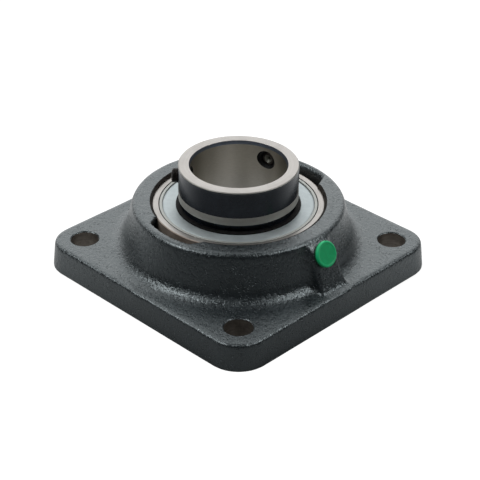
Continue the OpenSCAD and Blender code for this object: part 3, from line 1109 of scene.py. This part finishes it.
@dataclass
class GreasePlug:
    """The green plug in the grease hole."""

    head_d: float = 17.4
    head_t: float = 2.8
    shank_r: float = 4.36
    shank_t: float = 8.0
    rim_w: float = 1.3
    dish: float = 0.3

    def build(self, place: Matrix) -> None:
        """Turns the plug, with a raised round rim, and puts it on the rib's slanted face.

        Args:
            place: Frame on the rib's face, in millimetres.
        """
        r, t = self.head_d / 2, self.head_t
        dish_t = t - self.dish
        path = rounded([
            (0.0, -self.shank_t, 0), (self.shank_r - 1.0, -self.shank_t, 0.3),
            (self.shank_r, -self.shank_t + 1.5, 0.4), (self.shank_r, 0.0, 0), (r, 0.0, 0.25),
            (r, t, 1.0), (r - self.rim_w, t, 0.5), (r - self.rim_w - 0.7, dish_t, 0.6),
            (0.0, dish_t, 0)], 8)
        blank = Blank()
        blank.revolve(path, 128)
        plastic = GreenPlastic(place, r).make()
        dress(blank.make("plug_green", place, [plastic]), Body.PLUG, ["grease_plug"])


@dataclass
class OuterRing:
    """The insert's outer ring: ball shaped outside, bright end faces, raceway inside."""

    outer_r: float = 59.95
    width: float = 27.0
    land_r: float = 51.5
    mouth_r: float = 54.05
    face_r: float = 57.81
    groove_r: float = 54.71
    seal_start: float = 9.9
    seal_end: float = 12.7
    race_r: float = 8.58
    race_centre_r: float = 46.02
    lube_w: float = 6.0
    lube_t: float = 0.8
    edge_t: float = 0.35
    race_steps: int = 12
    ball_steps: int = 14
    bright: GroundSteel = GroundSteel()
    brown: SeatSteel = SeatSteel()

    def half_path(self) -> list[Point]:
        """Section from the raceway's middle over the front face to the outside's middle.

        Returns:
            The points of half of the section.
        """
        half = self.width / 2
        edge = half - self.edge_t
        race_end = math.acos((self.land_r - self.race_centre_r) / self.race_r)
        race = [(self.race_centre_r + self.race_r * math.cos(a), self.race_r * math.sin(a))
                for a in (race_end * k / self.race_steps for k in range(self.race_steps + 1))]
        inside = rounded([race[-1] + (0,), (self.land_r, self.seal_start, 0),
                          (self.groove_r, self.seal_start, 0),
                          (self.groove_r, self.seal_end, 0), (self.mouth_r, self.seal_end, 0.1),
                          (self.mouth_r, half, 0.25), (self.face_r, half, 0.18),
                          (math.sqrt(self.outer_r ** 2 - edge ** 2), edge, 0)], 4, False)
        low = math.asin(self.lube_w / 2 / self.outer_r)
        high = math.asin(edge / self.outer_r)
        turns = (high + (low - high) * k / self.ball_steps for k in range(1, self.ball_steps + 1))
        ball = [(self.outer_r * math.cos(a), self.outer_r * math.sin(a)) for a in turns]
        return race + inside[1:] + ball + [(self.outer_r - self.lube_t, self.lube_w / 2)]

    def finish_of(self, first: Point, second: Point) -> OuterFace:
        """Picks brown steel for the ball shaped outside and bright steel elsewhere."""
        mean_r = (first[0] + second[0]) / 2
        return OuterFace.BROWN if mean_r > self.face_r + 0.3 else OuterFace.BRIGHT

    def build(self) -> None:
        """Turns the ring and dresses it."""
        front = self.half_path()
        rear = [(r, -z) for r, z in reversed(front[1:])]
        blank = Blank()
        blank.revolve([*rear, *front][::-1], 256, self.finish_of)
        looks = {OuterFace.BRIGHT: self.bright, OuterFace.BROWN: self.brown}
        finishes = [looks[face].make() for face in OuterFace]
        piece = blank.make("outer_ring_steel", Matrix.Translation((0, 0, SEAT_Z)), finishes)
        dress(piece, Body.OUTER, ["outer_ring"], 25.0)


@dataclass
class SealSet:
    """The two seals: an outer washer with a raised rim, a rubber ring and an inner washer each."""

    start: float = 9.9
    middle: float = 10.5
    out: float = 12.0
    face: float = 12.8
    bore_r: float = 42.3
    groove_r: float = 54.71
    rim_start_r: float = 51.3
    rim_end_r: float = 53.45
    rim_t: float = 0.6
    shoulder_r: float = 41.5
    lip_r: float = 38.6
    lip_proud: float = 1.1
    zinc: ZincSheet = ZincSheet()
    rubber: SealRubber = SealRubber()

    def washer_path(self) -> list[Point]:
        """Section of the outer washer.

        Returns:
            The closed path.
        """
        rim = self.face + self.rim_t
        return rounded([(self.bore_r, self.out, 0), (self.groove_r, self.out, 0),
                        (self.groove_r, self.face - 0.1, 0),
                        (self.rim_end_r + 0.2, self.out + 0.3, 0), (self.rim_end_r, rim, 0.3),
                        (self.rim_start_r + 0.35, rim, 0.3),
                        (self.rim_start_r, self.face - 0.25, 0.1),
                        (self.rim_start_r - 0.5, self.face - 0.2, 0.2),
                        (self.rim_start_r - 0.8, self.face, 0.3),
                        (self.bore_r, self.face, 0.2)], 5)

    def lip_path(self) -> list[Point]:
        """Section of the rubber ring with its lip.

        Returns:
            The closed path.
        """
        top = self.face + self.lip_proud
        edge = self.bore_r - 0.1
        return rounded([(self.shoulder_r + 0.7, self.middle, 0), (self.groove_r, self.middle, 0),
                        (self.groove_r, self.out, 0), (self.bore_r, self.out, 0),
                        (edge, self.out + 0.1, 0),
                        (edge, top, 0.5), (self.lip_r + 0.5, top, 0.4),
                        (self.lip_r, self.face - 0.4, 0.3),
                        (self.lip_r + 1.4, self.middle + 0.8, 0)], 5)

    def backing_path(self) -> list[Point]:
        """Section of the inner washer.

        Returns:
            The closed path.
        """
        inner = self.shoulder_r + 0.5
        return rounded([(inner, self.start, 0.1), (self.groove_r, self.start, 0.1),
                        (self.groove_r, self.middle, 0.1), (inner, self.middle, 0.1)], 3)

    def build(self) -> None:
        """Makes the three rings of both seals."""
        zinc, rubber = self.zinc.make(), self.rubber.make()
        parts = (("washer", self.washer_path(), zinc, "washer_zinc"),
                 ("lip", self.lip_path(), rubber, "seal_rubber"),
                 ("backing", self.backing_path(), zinc, "washer_zinc"))
        for side in Side:
            for part, path, finish, slot in parts:
                blank = Blank()
                blank.revolve(path, 256)
                label = side.name.lower()
                move = Matrix.Translation((0, 0, SEAT_Z)) @ Matrix.Diagonal((1, 1, side.value, 1))
                piece = blank.make(f"{label}_seal_{part}", move, [finish])
                dress(piece, Body.OUTER, [f"seal_{label}_{part}"], 30.0)


@dataclass
class SetScrew:
    """A threaded set screw with a hexagon socket and a cup at its tip."""

    number: int
    body: Body
    angle_deg: float
    tip_r: float
    major_r: float = 5.0
    pitch: float = 1.0
    depth: float = 0.58
    flank_rate: float = 2.6
    flank_share: float = 1.6
    root_share: float = 0.45
    crest_gain: float = 1.3
    end_chamfer: float = 1.0
    end_rate: float = 1.2
    length: float = 12.0
    height: float = 66.1
    socket_af: float = 5.0
    socket_t: float = 5.0
    steel: BlackScrew = BlackScrew()
    cup: SeatSteel = SeatSteel("screw_cup", (0.20, 0.205, 0.175), (0.12, 0.12, 0.10))

    def place(self) -> Matrix:
        """Frame of the screw, with its origin at its tip and Z straight out.

        Returns:
            The frame, in millimetres.
        """
        lie_down = Matrix.Rotation(QUARTER_TURN, 4, "Y")
        turn = Matrix.Rotation(math.radians(self.angle_deg), 4, "Z") @ lie_down
        slide = Matrix.Translation((0, 0, self.tip_r))
        return Matrix.Translation((0, 0, self.height)) @ turn @ slide

    def thread(self, name: str, grow: float, low: float, high: float,
               ends: bool) -> bpy.types.Object:
        """Makes a threaded rod in the screw's place.

        Args:
            name: The object's name.
            grow: How much larger than the screw it is, on the radius.
            low: Its lower end along the screw.
            high: Its upper end along the screw.
            ends: Whether the ends are chamfered.

        Returns:
            The rod.
        """
        around, per_pitch = 72, 12
        rows = int(round((high - low) / self.pitch * per_pitch))
        loops = []
        for row in range(rows + 1):
            z = low + (high - low) * row / rows
            loop = []
            for t in range(around):
                phase = (z / self.pitch - t / around) % 1.0
                flank = self.flank_rate * abs(phase - 0.5) * 2 - self.root_share
                tooth = min(1.0, max(0.0, flank) / self.flank_share)
                r = self.major_r + grow - self.depth * (1 - min(1.0, tooth * self.crest_gain))
                if ends:
                    end_r = self.major_r - self.end_chamfer
                    r = min(r, end_r + self.end_rate * min(z - low, high - z))
                a = FULL_TURN * t / around
                loop.append((r * math.cos(a), r * math.sin(a), z))
            loops.append(loop)
        blank = Blank()
        blank.stack(loops)
        return blank.make(name, self.place())

    def socket_cutter(self) -> bpy.types.Object:
        """Hexagon socket with a drilled cone at its bottom.

        Returns:
            The cutter.
        """
        corner = self.socket_af / 2 / math.cos(math.pi / 6)
        ring = [(math.cos(math.pi / 3 * k), math.sin(math.pi / 3 * k)) for k in range(6)]
        top, bottom = self.length + 1.0, self.length - self.socket_t
        levels = [(0.05, bottom - 1.1), (corner * 0.85, bottom), (corner, bottom),
                  (corner, self.length - 0.35), (corner + 1.35, top)]
        blank = Blank()
        blank.stack([[(r * x, r * y, z) for x, y in ring] for r, z in levels])
        return blank.make("socket_cutter", self.place())

    def cup_cutter(self) -> bpy.types.Object:
        """Cone that hollows the screw's tip, with a small centre hole.

        Returns:
            The cutter.
        """
        path = [(0.0, -1.0), (3.9, -1.0), (2.7, 0.2), (1.2, 1.3), (1.0, 4.0), (0.0, 4.3)]
        blank = Blank()
        blank.revolve(path, 48, ScrewFace.CUP)
        return blank.make("cup_cutter", self.place())

    def build(self) -> None:
        """Cuts the thread, socket and cup, and dresses the screw."""
        piece = self.thread(f"set_screw_{self.number}_threaded", 0.0, 0.0, self.length, True)
        looks = {ScrewFace.BLACK: self.steel, ScrewFace.CUP: self.cup}
        for face in ScrewFace:
            piece.data.materials.append(looks[face].make())
        cut(piece, [self.socket_cutter(), self.cup_cutter()])
        dress(piece, self.body, [f"set_screw_{self.number}"], 40.0)


@dataclass
class InnerRing:
    """The wide inner ring with its shaft bore and its two threaded screw holes."""

    bore_r: float = 32.5
    end_r: float = 40.1
    collar_r: float = 40.55
    shoulder_r: float = 41.5
    shoulder_s: float = 10.0
    undercut_r: float = 38.3
    undercut_s: float = 18.5
    oxide_s: float = 24.2
    long_end_s: float = 42.9
    short_end_s: float = 25.4
    race_r: float = 8.58
    race_centre_r: float = 46.48
    chamfer_w: float = 0.75
    chamfer_t: float = 2.5
    race_steps: int = 12
    sink_wide_r: float = 8.5
    sink_narrow_r: float = 4.5
    rim_narrow_r: float = 5.1
    rim_wide_r: float = 8.1
    thread_gap: float = 0.05
    screws: tuple[SetScrew, ...] = ()
    bright: GroundSteel = GroundSteel("ground_steel_inner", stain_share=0.35)
    bore: BoreSteel = BoreSteel()
    oxide: BlackOxide = BlackOxide()
    band: GroundSteel = GroundSteel("turned_band", (0.48, 0.475, 0.44), (0.34, 0.335, 0.31),
                                    metal=0.5, rough=0.45)
    matt: BlackOxide = BlackOxide("matt_oxide", (0.006, 0.006, 0.006), (0.011, 0.0105, 0.010),
                                  rough=0.55, ior=1.3)
    blued: GroundSteel = GroundSteel("blued_edge", (0.36, 0.41, 0.50), (0.25, 0.29, 0.37),
                                     metal=0.9, rough=0.24)

    def path(self) -> list[Point]:
        """Section of the ring, from the rear end of the bore outwards.

        Returns:
            The closed path.
        """
        end, collar = self.end_r, self.collar_r
        race_end = math.acos((self.race_centre_r - self.shoulder_r) / self.race_r)
        race = [(self.race_centre_r - self.race_r * math.cos(a), self.race_r * math.sin(a), 0.0)
                for a in (race_end * k / self.race_steps
                          for k in range(-self.race_steps, self.race_steps + 1))]
        rear, front = -self.short_end_s, self.long_end_s
        mouth, waist = self.bore_r + self.chamfer_w, self.undercut_r
        low, high = self.shoulder_s, self.undercut_s
        return rounded([
            (self.bore_r, rear + self.chamfer_t, 0.3), (mouth, rear, 0.2), (end, rear, 0.5),
            (end, -high, 0.35), (waist, -high, 0.3), (waist, -low, 0.3),
            (self.shoulder_r, -low, 0.2), *race, (self.shoulder_r, low, 0.2),
            (waist, low, 0.3), (waist, high, 0.3), (collar, high, 0.25),
            (collar, self.oxide_s, 0), (collar - 0.04, self.oxide_s + 0.12, 0),
            (collar - 0.04, front - 0.65, 0.2), (end - 0.1, front, 0.12), (mouth, front, 0.2),
            (self.bore_r, front - self.chamfer_t, 0.3)], 4)

    def finish_of(self, first: Point, second: Point) -> RingFace:
        """Picks the finish of an edge of the section. Only the hole cutters bring the tapped one.

        Args:
            first: One end of the edge, as its radius and its place along the ring.
            second: The other end.

        Returns:
            The material slot.
        """
        slack = 0.05
        r, s = (first[0] + second[0]) / 2, (first[1] + second[1]) / 2
        if r < self.bore_r + slack:
            return RingFace.BORE
        if r < self.bore_r + self.chamfer_w - slack:
            return RingFace.BLUED
        if r > self.end_r - slack and self.oxide_s + slack < s < self.long_end_s - slack:
            return RingFace.BAND if s > self.long_end_s - 0.5 else RingFace.OXIDE
        # The undercut gets the black oxide as painted shade, dark where it lies in shade below the
        # bright band.
        if r < self.end_r and self.shoulder_s < abs(s) < self.undercut_s:
            return RingFace.OXIDE
        turned = self.undercut_s <= abs(s) <= self.oxide_s + slack and r > self.undercut_r + 0.2
        return RingFace.BAND if turned else RingFace.GROUND

    def hole_cutters(self, screw: SetScrew) -> list[bpy.types.Object]:
        """Threaded hole of one screw, with chamfers at the bore and at the outside.

        Args:
            screw: The screw that the hole is for.

        Returns:
            The cutters of the hole.
        """
        bore, out = self.bore_r - screw.tip_r, self.collar_r - screw.tip_r
        sink, rim = Blank(), Blank()
        low, high = bore - 2.0, bore + 2.0
        sink.revolve([(0.0, low), (self.sink_wide_r, low), (self.sink_narrow_r, high),
                      (0.0, high)], 64, RingFace.TAPPED)
        low, high = out - 1.0, out + 2.0
        rim.revolve([(0.0, low), (self.rim_narrow_r, low), (self.rim_wide_r, high),
                     (0.0, high)], 64, RingFace.TAPPED)
        grow = screw.depth + self.thread_gap
        hole = screw.thread("hole_cutter", grow, bore - 3.0, out + 3.0, False)
        faces = hole.data.polygons
        faces.foreach_set("material_index", [RingFace.TAPPED] * len(faces))
        return [hole, sink.make("sink_cutter", screw.place()),
                rim.make("rim_cutter", screw.place())]

    def build(self) -> None:
        """Turns the ring, taps its holes and dresses it."""
        blank = Blank()
        blank.revolve(self.path(), 256, self.finish_of)
        looks = {RingFace.GROUND: self.bright, RingFace.BORE: self.bore,
                 RingFace.OXIDE: self.oxide, RingFace.BAND: self.band,
                 RingFace.TAPPED: self.matt, RingFace.BLUED: self.blued}
        finishes = [looks[face].make() for face in RingFace]
        piece = blank.make("inner_ring_steel", Matrix.Translation((0, 0, SEAT_Z)), finishes)
        for screw in self.screws:
            cut(piece, self.hole_cutters(screw))
        dress(piece, Body.INNER, ["inner_ring"], 25.0)


@dataclass
class HiddenParts:
    """The balls, cage halves and rivets, which stay as packed and get their finishes."""

    ball_count: int = 10
    polished: HiddenSteel = HiddenSteel("polished_ball", (0.80, 0.80, 0.81),
                                        (0.62, 0.61, 0.60), 0.06)
    pressed: HiddenSteel = HiddenSteel("pressed_cage", (0.56, 0.54, 0.50),
                                       (0.36, 0.34, 0.31), 0.32)

    def build(self) -> None:
        """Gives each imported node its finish."""
        polished, pressed = self.polished.make(), self.pressed.make()
        chosen = {f"ball_{n:02d}": polished for n in range(1, self.ball_count + 1)}
        chosen |= {name: pressed for name in ("cage_front", "cage_rear", "cage_rivets")}
        for name, finish in chosen.items():
            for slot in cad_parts[name].material_slots:
                slot.material = finish
            report.info("%s keeps its packed shape and gets %s", name, finish.name)


@dataclass
class Camera:
    """The camera at the photograph's viewing angle, for a square picture."""

    azimuth_deg: float = 44.73
    elevation_deg: float = 31.42
    distance: float = 1.0013
    target: Spot = (0.0, 0.0, 0.0186)
    side: int = 480
    focal_px: float = 1458.0
    principal_px: Point = (237.73, 238.50)
    roll_deg: float = -0.30
    sensor: float = 36.0

    def build(self) -> None:
        """Makes the camera and hands it to the scene."""
        az, el = math.radians(self.azimuth_deg), math.radians(self.elevation_deg)
        level = math.cos(el)
        ahead = -Vector((math.sin(az) * level, -math.cos(az) * level, math.sin(el)))
        right = Vector((math.cos(az), math.sin(az), 0.0))
        up = right.cross(ahead)
        middle = (self.side - 1) / 2
        aside, below = self.principal_px
        aim = Vector(((aside - middle) / self.focal_px, (middle - below) / self.focal_px, 1))
        nudge = Vector((0, 0, 1)).rotation_difference(aim).to_matrix()
        roll = Matrix.Rotation(math.radians(self.roll_deg), 3, "Z")
        axes = roll @ nudge @ Matrix((right, up, ahead))
        data = bpy.data.cameras.new("camera")
        data.sensor_width = self.sensor
        data.lens = self.focal_px / self.side * self.sensor
        data.clip_start, data.clip_end = 0.01, 20.0
        camera = bpy.data.objects.new("camera", data)
        bpy.context.scene.collection.objects.link(camera)
        turn = Matrix((axes[0], axes[1], -axes[2])).transposed().to_4x4()
        camera.matrix_world = Matrix.Translation(Vector(self.target) - ahead * self.distance) @ turn
        bpy.context.scene.camera = camera


@dataclass
class Studio:
    """Pale floor that darkens in front as painted shade, a soft sky that is dimmer in front, and
    two soft lamps.
    """

    floor_half: float = 3.0
    floor_z: float = -0.0003
    fade_half: float = 0.12
    fade_way: Point = (0.70, 0.71)
    floor_pale: Colour = (0.58, 0.58, 0.58)
    floor_dim: Colour = (0.33, 0.33, 0.33)
    glow_far: Colour = (0.70, 0.70, 0.70)
    glow_near: Colour = (0.96, 0.96, 0.96)
    gloss_far: float = 0.75
    gloss_near: float = 0.02
    sky_back: float = 1.5
    sky_front: float = 0.03
    sky_from: float = 0.58
    sky_to: float = 0.92
    back: Spot = (-0.72, 0.60, 0.36)
    lamp_size: float = 0.6
    lamp_target: Spot = (0, 0, 0.03)
    right_place: Spot = (0.74, 0.55, 1.18)
    right_power: float = 6.5
    left_place: Spot = (-0.55, -0.74, 1.18)
    left_power: float = 7.5

    def floor(self) -> None:
        """Lays the floor under the part."""
        half, z = self.floor_half, self.floor_z
        mesh = bpy.data.meshes.new("floor")
        mesh.from_pydata([(-half, -half, z), (half, -half, z), (half, half, z), (-half, half, z)],
                         [], [(0, 1, 2, 3)])
        sheet = bpy.data.objects.new("floor", mesh)
        bpy.context.scene.collection.objects.link(sheet)
        b = MaterialBench("floor_paper")
        path = b.node("ShaderNodeLightPath")
        camera, gloss, through = (Varying(b, path.outputs[f"Is {ray} Ray"])
                                  for ray in ("Camera", "Glossy", "Transmission"))
        x, y, _ = b.axes()
        along, across = self.fade_way
        # Painted shade: in front of the part the floor is coloured darker and hardly glows for
        # glossy rays, while the camera still sees it near white.
        front_shade = (x * along - y * across).between(-self.fade_half, self.fade_half)
        share = self.gloss_far - front_shade * (self.gloss_far - self.gloss_near)
        glow = b.blend(front_shade, self.glow_far, self.glow_near)
        tone = b.blend(front_shade, self.floor_pale, self.floor_dim)
        shown = b.blend(camera + (gloss + through) * share, (0, 0, 0), glow)
        mesh.materials.append(b.finish({"Base Color": tone, "Roughness": 0.9,
                                        "Specular IOR Level": 0.0, "Emission Strength": 1.0,
                                        "Emission Color": shown}))

    def sky(self) -> None:
        """Lights the part from a plain sky that the camera sees as white."""
        world = bpy.data.worlds.new("sky")
        bpy.context.scene.world = world
        world.use_nodes = True
        b = NodeBench(world.node_tree)
        aim = b.node("ShaderNodeTexCoord").outputs["Generated"]
        toward = b.value("ShaderNodeVectorMath", {"operation": "DOT_PRODUCT"},
                         {0: aim, 1: Vector(self.back).normalized()}, "Value")
        fade = b.value("ShaderNodeMapRange", {"interpolation_type": "SMOOTHSTEP"},
                       {"Value": toward, "From Min": self.sky_from, "From Max": self.sky_to,
                        "To Min": self.sky_front, "To Max": self.sky_back}, "Result")
        camera = b.node("ShaderNodeLightPath").outputs["Is Camera Ray"]
        strength = b.node("ShaderNodeMix", {}, {"Factor": camera, 2: fade, 3: 1.0}).outputs[0]
        background = b.tree.nodes["Background"].inputs
        b.feed(background["Color"], (1, 1, 1))
        b.feed(background["Strength"], strength)

    def lamp(self, name: str, place: Spot, power: float) -> None:
        """Adds one square soft lamp that faces the part.

        Args:
            name: The lamp's name.
            place: Where it stands, in metres.
            power: Its power in watts.
        """
        data = bpy.data.lights.new(name, "AREA")
        data.shape, data.size, data.energy = "SQUARE", self.lamp_size, power
        made = bpy.data.objects.new(name, data)
        bpy.context.scene.collection.objects.link(made)
        made.location = place
        way = Vector(self.lamp_target) - Vector(place)
        made.rotation_euler = way.to_track_quat("-Z", "Y").to_euler()

    def build(self) -> None:
        """Sets up floor, sky and lamps."""
        self.floor()
        self.sky()
        self.lamp("right_lamp", self.right_place, self.right_power)
        self.lamp("left_lamp", self.left_place, self.left_power)
        bpy.context.scene.view_settings.view_transform = "Standard"


def main() -> None:
    """Builds the camera, every piece of the bearing, and the studio."""
    logging.basicConfig(level=logging.INFO, format="%(name)s: %(message)s")
    Camera().build()
    first = SetScrew(1, Body.SCREW_1, angle_deg=219.0, tip_r=32.9)
    second = SetScrew(2, Body.SCREW_2, angle_deg=99.0, tip_r=34.4)
    housing = CastHousing()
    housing.build()
    GreasePlug().build(housing.grease_frame())
    OuterRing().build()
    SealSet().build()
    InnerRing(screws=(first, second)).build()
    first.build()
    second.build()
    HiddenParts().build()
    Studio().build()


if __name__ == "__main__":
    main()
